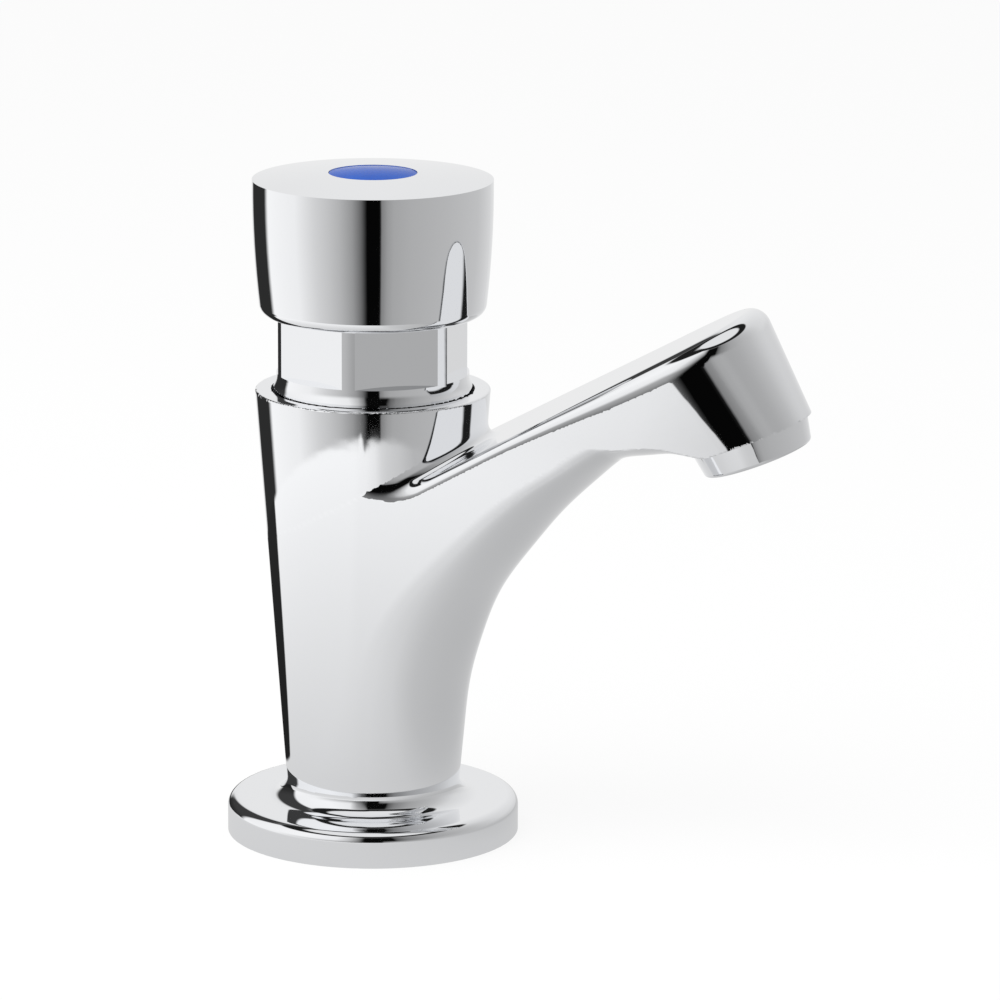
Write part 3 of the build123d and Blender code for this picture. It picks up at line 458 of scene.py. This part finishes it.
# body of the tap: the CAD casting as one smooth form, so that its blends flow as the polished casting's do;
# a field that is negative inside describes it, in mm
bodyShape = {
    "footRadius": 24.0,
    "footThickness": 5.9,
    "footFillet": 3.2,
    "footEdge": 1.8,            # rounding of its upper edge
    "columnFootRadius": 14.0,
    "columnTopRadius": 19.2,
    "columnTop": 74.4,
    "collarEdge": 0.35,
    "collarReach": 26.0,        # the collar's plane trims nothing outside this radius
    "reach": 62.5,              # of the outlet's middle from the column's axis
    "outletHeight": 70.2,
    "outletLeanDeg": 21.0,
    "outletReach": 18.0,        # nor the outlet's plane outside this one
    "outletEdge": 0.7,
    "noseRadius": 10.2,
    "noseLeanDeg": 26.0,
    "noseFront": 11.6,          # the foremost point ahead of the outlet, at its height
    "noseDraft": 0.21,          # how much wider the nose gets per mm of height
    "draftFade": 20.0,          # depth under the outlet in which the draft dies away
    "noseEase": 30.0,           # the flank turns into the nose on a radius this much larger than the nose's
    "noseEaseDeg": 12.0,
    "spoutTopHeight": 66.7,     # of the flat top where it would meet the column
    "spoutRiseDeg": 29.0,
    "rootFillet": 5.0,
    "sharpEdge": 0.02,          # rounding of the flat's edges beside the column, which then grows
    "edgeGrowth": ((3, 12, 1.5), (22, 52, 1.9)),    # from this x to that x by this much
    # web under the spout: how far its front edge stands ahead of the column and where it meets the flank,
    # as shares of the reach, at heights that are shares of columnTop
    "webHeights": (0.04, 0.14, 0.24, 0.35, 0.46, 0.57, 0.67, 0.76, 0.84, 0.875, 0.915, 0.95),
    "webReaches": (0.002, 0.002, 0.004, 0.010, 0.036, 0.081, 0.157, 0.237, 0.328, 0.372, 0.438, 0.51),
    "webCreases": (0.012, 0.016, 0.022, 0.034, 0.058, 0.127, 0.232, 0.342, 0.462, 0.526, 0.594, 0.67),
    "creaseDeg": 6.0,           # how much the surface turns where they meet
    "creaseRun": 1.5,           # flat strip ahead of the crease
    "creaseEdge": 0.5,
    # belly: how far its lowest line lies under outletHeight and how far its sides rise from that line,
    # at these runs behind the outlet's middle
    "bellyRuns": (21.5, 16.1, 11.0, 5.0),
    "bellyDrops": (-0.3, 2.8, 2.75, 2.4),
    "bellyRounds": (2.5, 5.1, 3.2, 0.8),
    "bellyHalf": 13.44,         # half width over which the sides rise
    "bellyShareMost": 0.97,     # keeps the belly's arc short of its upright end
    "bellyBlend": 2.5,
    "rimRadius": 10.2,
    "rimDepth": 4.0,
    "rimBlend": 1.5,
    # cosines of the angles at which the forms meet
    "meets": {"rim": 0.3, "belly": -0.4, "outlet": 0.2, "crease": 0.8, "root": 0.45},
    # each bore's start height and radius; it ends where the next one starts
    "bores": ((0.0, 10.53), (12.0, 9.0), (25.9, 12.5), (64.6, 14.05), (70.8, 16.6)),
    "sealGroove": (18.1, 21.5, 1.6),                # both radii and the depth
    "outletBores": ((7.85, 7.6), (5.5, 12.5)),      # radius and depth of each
    "waterway": {"radius": 3.5, "startX": 12.5, "startHeight": 49.6, "riseDeg": 35.8,
                 "behind": 6.0, "ahead": 56.0},
    "past": 5.0,                # how far the bores cut past open ends
}

# how that form is meshed; a match is the cosine between two normals
bodyMesh = {
    "low": (-24.9, -24.9, -0.9),    # corners of the grid
    "high": (73.5, 24.9, 91.5),
    "cellMm": 0.55,
    "settleMm": 0.5,            # how far a point may move to get onto the surface
    "cutTurn": 0.992,           # quads whose corner normals match less than this are cut into four
    "cutMm": 0.3,               # how far the points of a cut may move
    "edgeTurn": 0.8,            # points whose neighbours match less than this may sit by a tight edge
    "edgeMm": 0.22,             # how far round such a point samples are taken
    "tightTurn": 0.7,           # samples that match less than this prove the edge
    "pullHome": 0.02,           # how firmly such a point is held near its samples' middle
    "intoFace": 0.4,            # how far into the face the normals by a tight edge are read
}


def roundMax(first, second, radius, cosine=0.0):
    # the outer of two surfaces, with the edge between them rounded
    u, v = first + radius, second + radius
    near = (u > cosine * v) & (v > cosine * u)
    square = numpy.maximum(u * u + v * v - 2 * cosine * u * v, 1e-12)
    arc = numpy.sqrt(square / (1 - cosine ** 2)) - radius
    return numpy.where(near, arc, numpy.maximum(first, second))


def roundMin(first, second, radius, cosine=0.0):
    return -roundMax(-first, -second, radius, cosine)


def most(*surfaces):
    whole = surfaces[0]
    for surface in surfaces[1:]:
        whole = numpy.maximum(whole, surface)
    return whole


def splineTable(places, values):
    # natural cubic spline through a table, returned as a function of place that also gives the slope
    x, y = numpy.array(places, float), numpy.array(values, float)
    step, n = numpy.diff(x), len(x)
    system, right = numpy.eye(n), numpy.zeros(n)
    for i in range(1, n - 1):
        system[i, i - 1:i + 2] = step[i - 1], 2 * (step[i - 1] + step[i]), step[i]
        right[i] = 6 * ((y[i + 1] - y[i]) / step[i] - (y[i] - y[i - 1]) / step[i - 1])
    bend = numpy.linalg.solve(system, right)
    endLow = (y[1] - y[0]) / step[0] - bend[1] * step[0] / 6
    endHigh = (y[-1] - y[-2]) / step[-1] + bend[-2] * step[-1] / 6

    def read(at):
        i = numpy.clip(numpy.searchsorted(x, at) - 1, 0, n - 2)
        h = step[i]
        a, b = (x[i + 1] - at) / h, (at - x[i]) / h
        value = a * y[i] + b * y[i + 1] + ((a ** 3 - a) * bend[i] + (b ** 3 - b) * bend[i + 1]) * h * h / 6
        slope = (y[i + 1] - y[i]) / h + ((3 * b * b - 1) * bend[i + 1] - (3 * a * a - 1) * bend[i]) * h / 6
        low, high = at < x[0], at > x[-1]
        value = numpy.where(high, y[-1] + endHigh * (at - x[-1]), value)
        value = numpy.where(low, y[0] + endLow * (at - x[0]), value)
        slope = numpy.where(low, endLow, numpy.where(high, endHigh, slope))
        return value, slope
    return read


def makeBodyField(shape):
    tall = shape["columnTop"] - shape["footThickness"]
    taper = (shape["columnTopRadius"] - shape["columnFootRadius"]) / tall
    lean = math.tan(math.radians(shape["noseLeanDeg"]))
    rise = math.radians(shape["spoutRiseDeg"])
    outlet = math.radians(shape["outletLeanDeg"])
    heights = [h * shape["columnTop"] for h in shape["webHeights"]]
    webReach = splineTable(heights, [r * shape["reach"] for r in shape["webReaches"]])
    webCrease = splineTable(heights, [r * shape["reach"] for r in shape["webCreases"]])
    places = [shape["reach"] - run for run in shape["bellyRuns"]]
    bellyLow = splineTable(places, [shape["outletHeight"] - drop for drop in shape["bellyDrops"]])
    bellyRound = splineTable(places, shape["bellyRounds"])
    creaseAngle = math.radians(shape["creaseDeg"])
    wider, bend = shape["noseEase"], math.radians(shape["noseEaseDeg"])
    meets, past = shape["meets"], shape["past"]

    def sides(x, y, z):
        # column, flank and nose seen from above, as one outline that changes with height
        radius = shape["columnFootRadius"] + taper * (z - shape["footThickness"])
        above = z - shape["outletHeight"]
        sunk = shape["draftFade"] * (numpy.exp(numpy.minimum(above, 0) / shape["draftFade"]) - 1)
        nose = shape["noseRadius"] + shape["noseDraft"] * numpy.where(above < 0, sunk, above)
        middle = shape["reach"] + shape["noseFront"] - lean * above - nose
        slope = (radius - nose - wider * (1 - math.cos(bend))) / middle
        level = numpy.sqrt(1 - slope ** 2)
        sine = slope * math.cos(bend) + level * math.sin(bend)
        cosine = level * math.cos(bend) - slope * math.sin(bend)
        back = numpy.hypot(x, y) - radius
        front = numpy.hypot(x - middle, y) - nose
        easeX, easeY = x - middle + wider * sine, y + wider * cosine
        easing = numpy.hypot(easeX, easeY) - nose - wider
        flank = x * slope + y * level - radius
        side = numpy.where(easeX * level > easeY * slope, easing, flank)
        side = numpy.where((x - middle) * cosine > y * sine, front, side)
        return numpy.where(x * level < y * slope, back, side), slope, level, radius

    def web(x, y, z, slope, level, radius):
        # the thin front under the spout: an ellipse at each height, which meets the flank at the crease
        high = numpy.minimum(z, heights[-1])
        reach, reachSlope = webReach(high)
        crease, _ = webCrease(high)
        apex = radius + reach
        bank = numpy.tan(numpy.arcsin(slope) + creaseAngle)
        joint = crease + shape["creaseRun"]
        width = (radius - crease * slope) / level - bank * shape["creaseRun"]
        pull = bank * (apex - joint) / width
        cosine = pull / (1 - pull)
        depth = (apex - joint) / (1 - cosine)
        half = width / numpy.sqrt(1 - cosine ** 2)
        ahead = x - (apex - depth)
        size = numpy.sqrt((ahead / depth) ** 2 + (y / half) ** 2) + 1e-9
        fall = numpy.sqrt((ahead / depth ** 2) ** 2 + (y / half ** 2) ** 2) + 1e-9
        across = ahead / depth ** 2 / fall
        upward = (taper + numpy.where(z < heights[-1], reachSlope, 0)) * across
        bow = (size - 1) * size / fall / numpy.sqrt(1 + upward ** 2)
        flat = (y - width + bank * (x - joint)) / numpy.sqrt(1 + bank ** 2)
        return numpy.where(x > joint, bow, flat)

    def belly(x, y, z):
        # rounded underside between the web and the outlet
        low, lowSlope = bellyLow(x)
        swell, swellSlope = bellyRound(x)
        share = numpy.minimum(y / shape["bellyHalf"], shape["bellyShareMost"])
        curve = numpy.sqrt(1 - share ** 2)
        inward = lowSlope + swellSlope * (1 - curve)
        across = swell * share / curve / shape["bellyHalf"]
        return (low + swell * (1 - curve) - z) / numpy.sqrt(1 + inward ** 2 + across ** 2)

    def bore(solid, rho, radius, bottom, top):
        return most(solid, -most(rho - radius, bottom, top))

    def field(x, y, z):
        y = numpy.abs(y)
        rho = numpy.hypot(x, y)
        hull, slope, level, radius = sides(x, y, z)
        aheadX, aboveZ = x - shape["reach"], z - shape["outletHeight"]
        below = aheadX * math.sin(outlet) - aboveZ * math.cos(outlet)
        beside = numpy.hypot(aheadX * math.cos(outlet) + aboveZ * math.sin(outlet), y)
        rim = most(beside - shape["rimRadius"], -below - shape["rimDepth"])
        keel = roundMin(belly(x, y, z), rim, shape["rimBlend"], meets["rim"])
        under = roundMin(web(x, y, z, slope, level, radius), keel, shape["bellyBlend"], meets["belly"])
        face = numpy.minimum(below, shape["outletReach"] - beside)
        under = roundMax(under, face, shape["outletEdge"], meets["outlet"])
        solid = roundMax(hull, under, shape["creaseEdge"], meets["crease"])
        column = (rho - radius) / math.sqrt(1 + taper ** 2)
        outX, upZ = x - shape["columnTopRadius"], z - shape["spoutTopHeight"]
        flat = upZ * math.cos(rise) - outX * math.sin(rise)
        over = roundMin(flat, column, shape["rootFillet"], meets["root"])
        edge = shape["sharpEdge"]
        for start, end, growth in shape["edgeGrowth"]:
            share = numpy.clip((x - start) / (end - start), 0, 1)
            edge = edge + growth * share * share * (3 - 2 * share)
        solid = roundMax(solid, over, edge)
        collar = numpy.minimum(z - shape["columnTop"], shape["collarReach"] - rho)
        solid = roundMax(solid, collar, shape["collarEdge"])
        foot = roundMax(rho - shape["footRadius"], z - shape["footThickness"], shape["footEdge"])
        solid = most(roundMin(solid, foot, shape["footFillet"]), -z)
        bottoms = [-past] + [height for height, _ in shape["bores"][1:]]
        tops = bottoms[1:] + [shape["columnTop"] + past]
        for bottom, top, (_, boreRadius) in zip(bottoms, tops, shape["bores"]):
            solid = bore(solid, rho, boreRadius, bottom - z, z - top)
        inner, outer, deep = shape["sealGroove"]
        solid = bore(solid, rho, outer, inner - rho, z - deep)
        for boreRadius, depth in shape["outletBores"]:
            solid = bore(solid, beside, boreRadius, -below - depth, below - past)
        way = shape["waterway"]
        climb = math.radians(way["riseDeg"])
        runX, runZ = x - way["startX"], z - way["startHeight"]
        run = runX * math.cos(climb) + runZ * math.sin(climb)
        off = numpy.hypot(runZ * math.cos(climb) - runX * math.sin(climb), y)
        return bore(solid, off, way["radius"], -run - way["behind"], run - way["ahead"])
    return field


def surfaceNet(field, low, high, cell):
    # one vertex in each cell that the surface crosses, at the middle of its crossings,
    # and one quad per crossed grid edge
    axes = [numpy.arange(low[i], high[i] + cell, cell) for i in range(3)]
    grid = numpy.empty([len(axis) for axis in axes])
    gridX, gridY = numpy.meshgrid(axes[0], axes[1], indexing="ij")
    for k, height in enumerate(axes[2]):
        grid[:, :, k] = field(gridX, gridY, numpy.full_like(gridX, height))
    inside = grid < 0
    n = [len(axis) - 1 for axis in axes]
    total = numpy.zeros(n + [3])
    count = numpy.zeros(n)

    def part(i, j, k):
        return slice(i, i + n[0]), slice(j, j + n[1]), slice(k, k + n[2])

    for a in [(i, j, k) for i in (0, 1) for j in (0, 1) for k in (0, 1)]:
        for axis in range(3):
            if a[axis]:
                continue
            b = list(a)
            b[axis] = 1
            first, second = grid[part(*a)], grid[part(*b)]
            cross = inside[part(*a)] != inside[part(*b)]
            share = numpy.where(cross, first / numpy.where(cross, first - second, 1), 0)
            for d in range(3):
                total[..., d] += numpy.where(cross, a[d] + (share if d == axis else 0), 0)
            count += cross
    active = count > 0
    number = numpy.full(n, -1)
    number[active] = numpy.arange(active.sum())
    points = (numpy.argwhere(active) + total[active] / count[active][:, None]) * cell + numpy.array(low)
    quads = []
    for axis in range(3):
        one, two = (axis + 1) % 3, (axis + 2) % 3
        a = [slice(1, n[0]), slice(1, n[1]), slice(1, n[2])]
        a[axis] = slice(0, n[axis])
        b = list(a)
        b[axis] = slice(1, n[axis] + 1)
        startIn, endIn = inside[tuple(a)], inside[tuple(b)]
        spots = numpy.argwhere(startIn != endIn)
        spots[:, [one, two]] += 1
        ring = []
        for i, j in ((1, 1), (0, 1), (0, 0), (1, 0)):
            at = spots.copy()
            at[:, one] -= i
            at[:, two] -= j
            ring.append(number[tuple(at.T)])
        quad = numpy.stack(ring, axis=1)
        flip = ~startIn[startIn != endIn]
        quad[flip] = quad[flip][:, ::-1]
        quads.append(quad)
    return points, numpy.concatenate(quads)


def slopes(field, points):
    step = 0.01
    grad = numpy.empty_like(points)
    for d in range(3):
        move = numpy.zeros(3)
        move[d] = step
        grad[:, d] = (field(*(points + move).T) - field(*(points - move).T)) / (2 * step)
    return grad


def facings(field, points):
    grad = slopes(field, points)
    return grad / numpy.linalg.norm(grad, axis=1)[:, None]


def settle(field, points, rounds, limit):
    # moves points onto the surface, by no more than the limit
    damping, flattest = 0.9, 0.05
    home = points
    for _ in range(rounds):
        grad = slopes(field, points)
        size = numpy.maximum((grad ** 2).sum(1), flattest)
        off = points - grad * (field(*points.T) / size)[:, None] * damping - home
        far = numpy.linalg.norm(off, axis=1)
        points = home + off * numpy.minimum(1, limit / numpy.maximum(far, 1e-9))[:, None]
    return points


def refine(field, points, quads, setup):
    # cuts the quads where the surface turns quickly into four; their neighbours get the new points
    flow = facings(field, points)[quads]
    cut = numpy.einsum("fid,fjd->fij", flow, flow).min(axis=(1, 2)) < setup["cutTurn"]
    edges = numpy.sort(numpy.stack([quads, numpy.roll(quads, -1, axis=1)], axis=2), axis=2)
    keys = edges[..., 0] * len(points) + edges[..., 1]
    wanted = numpy.unique(keys[cut])
    middles = (points[wanted // len(points)] + points[wanted % len(points)]) / 2
    centres = points[quads[cut]].mean(axis=1)
    added = settle(field, numpy.concatenate([middles, centres]), 4, setup["cutMm"])
    spot = numpy.searchsorted(wanted, keys).clip(0, len(wanted) - 1)
    spot = numpy.where(wanted[spot] == keys, spot + len(points), -1)
    centre = len(points) + len(wanted) + numpy.arange(cut.sum())
    corner, middle = quads[cut].T, spot[cut].T
    small = [numpy.stack([corner[i], middle[i], centre, middle[i - 1]], axis=1) for i in range(4)]
    rings = numpy.stack([quads, spot], axis=2).reshape(-1, 8)[~cut]
    faces = numpy.concatenate(small).tolist() + [[p for p in ring if p >= 0] for ring in rings.tolist()]
    return numpy.concatenate([points, added]), faces


def sharpen(field, points, faces, setup):
    # moves each point that sits by a tight edge onto the edge, and tells which points those are
    flow = facings(field, points)
    first = numpy.concatenate(faces)
    turn = numpy.ones(len(points))
    for along in (1, 2):
        other = numpy.concatenate([face[along:] + face[:along] for face in faces])
        match = (flow[first] * flow[other]).sum(1)
        numpy.minimum.at(turn, first, match)
        numpy.minimum.at(turn, other, match)
    chosen = numpy.nonzero(turn < setup["edgeTurn"])[0]
    some = points[chosen]
    reach = setup["edgeMm"]
    samples = []
    for signs in ((1, 1, 1), (1, -1, -1), (-1, 1, -1), (-1, -1, 1),
                  (-1, -1, -1), (-1, 1, 1), (1, -1, 1), (1, 1, -1)):
        samples.append(settle(field, some + numpy.array(signs) * reach / math.sqrt(3), 3, reach * 2))
    normals = numpy.array([facings(field, sample) for sample in samples])
    samples = numpy.array(samples)
    tight = numpy.einsum("ikd,jkd->kij", normals, normals).min(axis=(1, 2)) < setup["tightTurn"]
    middle = samples.mean(0)
    square = numpy.einsum("ikd,ike->kde", normals, normals) + setup["pullHome"] * numpy.eye(3)
    pull = numpy.einsum("ikd,ik->kd", normals, numpy.einsum("ikd,ikd->ik", normals, samples - middle))
    off = middle + numpy.linalg.solve(square, pull[..., None])[..., 0] - some
    far = numpy.linalg.norm(off, axis=1)[:, None]
    points = points.copy()
    points[chosen[tight]] = (some + off * numpy.minimum(1, reach / numpy.maximum(far, 1e-9)))[tight]
    onEdge = numpy.zeros(len(points), bool)
    onEdge[chosen[tight]] = True
    return points, onEdge


def cornerNormals(field, points, faces, onEdge, setup):
    # one normal per point, but by a tight edge one per corner, read a little way into the face
    corners = numpy.concatenate(faces)
    owner = numpy.repeat(numpy.arange(len(faces)), [len(face) for face in faces])
    centre = numpy.zeros((len(faces), 3))
    numpy.add.at(centre, owner, points[corners])
    centre /= numpy.bincount(owner)[:, None]
    normals = facings(field, points)[corners]
    chosen = onEdge[corners]
    into = setup["intoFace"]
    inward = points[corners[chosen]] * (1 - into) + centre[owner[chosen]] * into
    normals[chosen] = facings(field, inward)
    return normals


def makeBody(shape, setup):
    field = makeBodyField(shape)
    points, quads = surfaceNet(field, setup["low"], setup["high"], setup["cellMm"])
    points = settle(field, points, 4, setup["settleMm"])
    points, faces = refine(field, points, quads, setup)
    points, onEdge = sharpen(field, points, faces, setup)
    normals = cornerNormals(field, points, faces, onEdge, setup)
    mesh = bpy.data.meshes.new("polishedBody")
    mesh.from_pydata((points * mm).tolist(), [], faces)
    mesh.polygons.foreach_set("use_smooth", [True] * len(faces))
    mesh.normals_split_custom_set(normals.tolist())
    body = bpy.data.objects.new("polishedBody", mesh)
    bpy.context.scene.collection.objects.link(body)
    mesh.materials.append(finishes["chrome"])
    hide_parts("tap_body")
    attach(body, "root")
    print("stage: body,", len(points), "points", len(faces), "faces")


makeBody(bodyShape, bodyMesh)
